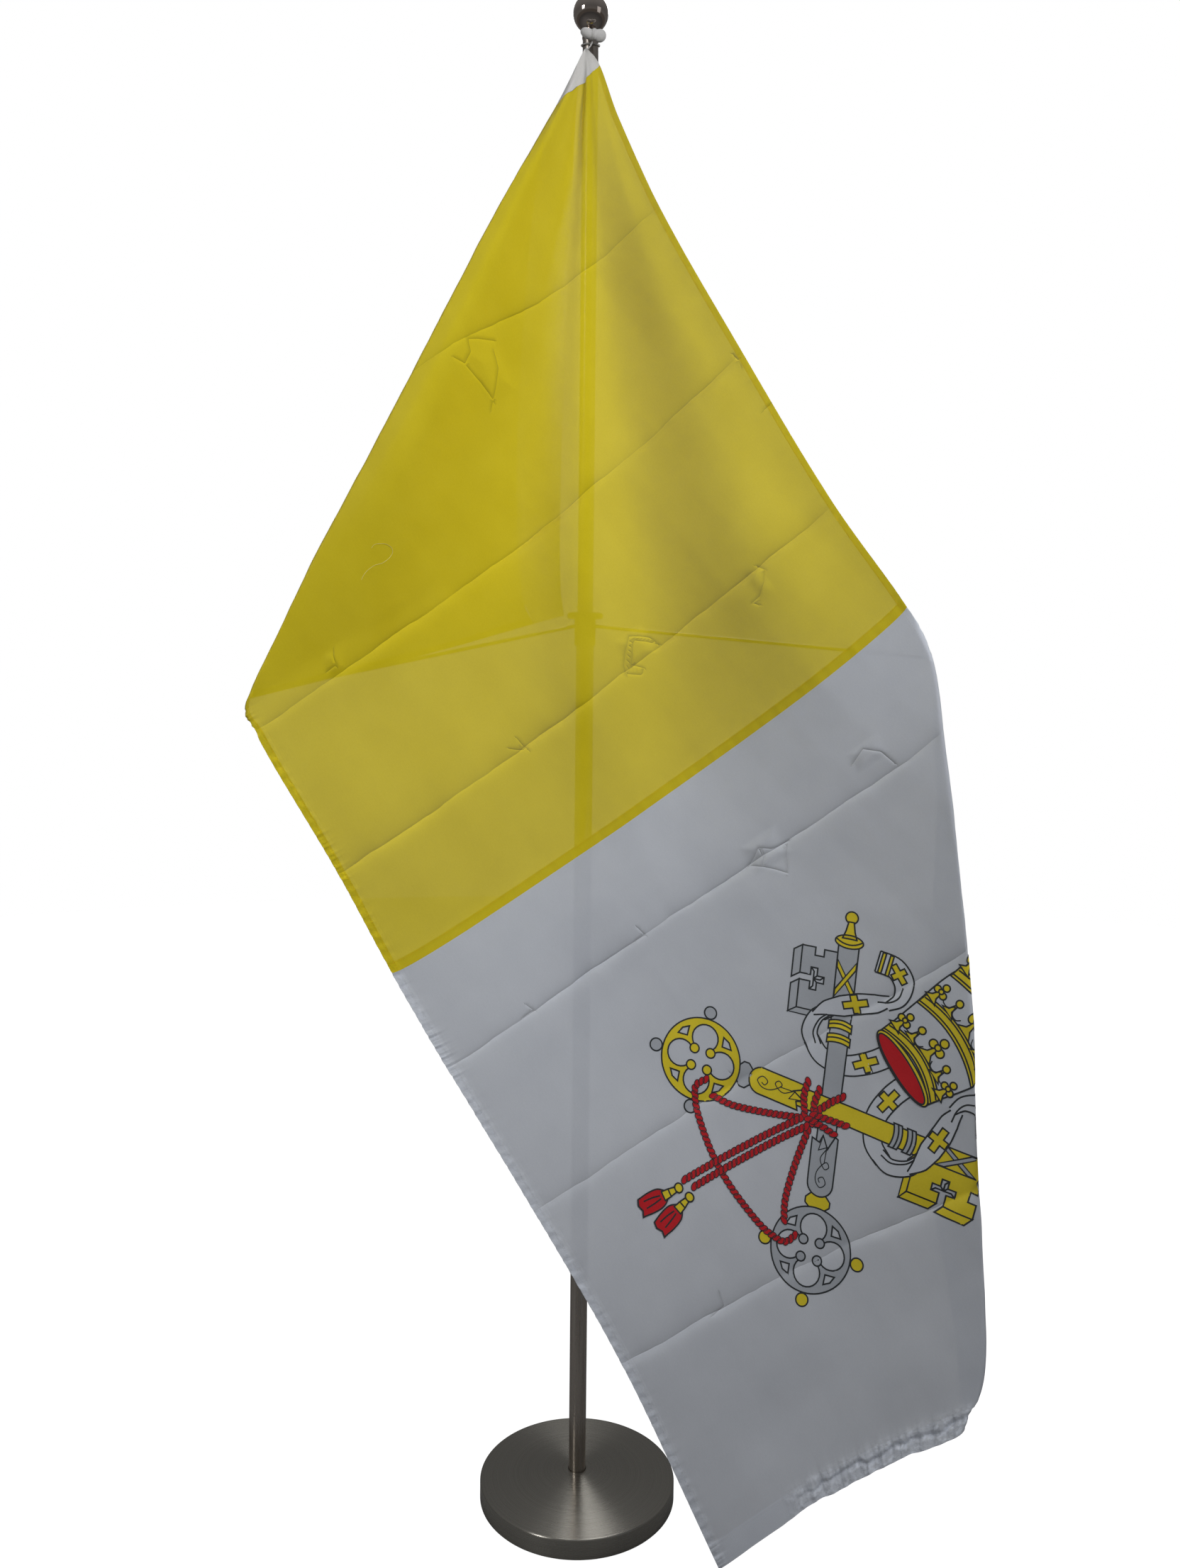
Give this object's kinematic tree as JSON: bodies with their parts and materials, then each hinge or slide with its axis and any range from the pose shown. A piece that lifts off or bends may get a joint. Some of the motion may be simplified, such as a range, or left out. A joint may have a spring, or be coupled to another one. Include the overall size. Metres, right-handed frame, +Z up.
{
  "type": "national flag on an indoor floor stand",
  "caption": "Two-colour cloth flag with crossed keys, hung by its top corner and draped over the two spreader arms of a steel floor stand.",
  "frame": {"origin": "middle of the flat underside of the round base, on the pole's axis", "axes": "+Z up along the pole; -Y towards the viewer; +X to the viewer's right, the side of the flag's top edge"},
  "size_m": [0.9581, 0.456, 2.1507],
  "materials": {
    "yellow_cloth": "sheer plain-weave polyester, dyed yellow",
    "white_cloth": "sheer plain-weave polyester, white with a printed emblem",
    "canvas": "white canvas heading",
    "cord": "white braided cord",
    "brushed_steel": "brushed",
    "dark_chrome": "polished dark chrome",
    "dark_fitting": "matt dark plastic"
  },
  "bodies": {
    "root": {"heading": "canvas", "yellow_panel": "yellow_cloth", "white_panel": "white_cloth", "upper_tie": "cord", "lower_tie": "cord", "tie_knot": "cord", "base": "brushed_steel", "lower_pole": "brushed_steel", "upper_pole": "brushed_steel", "spreader_hub": "dark_fitting", "left_arm": "brushed_steel", "right_arm": "brushed_steel", "left_arm_tip": "dark_fitting", "right_arm_tip": "dark_fitting", "finial_neck": "brushed_steel", "finial_ball": "dark_chrome"}
  },
  "joints": []
}
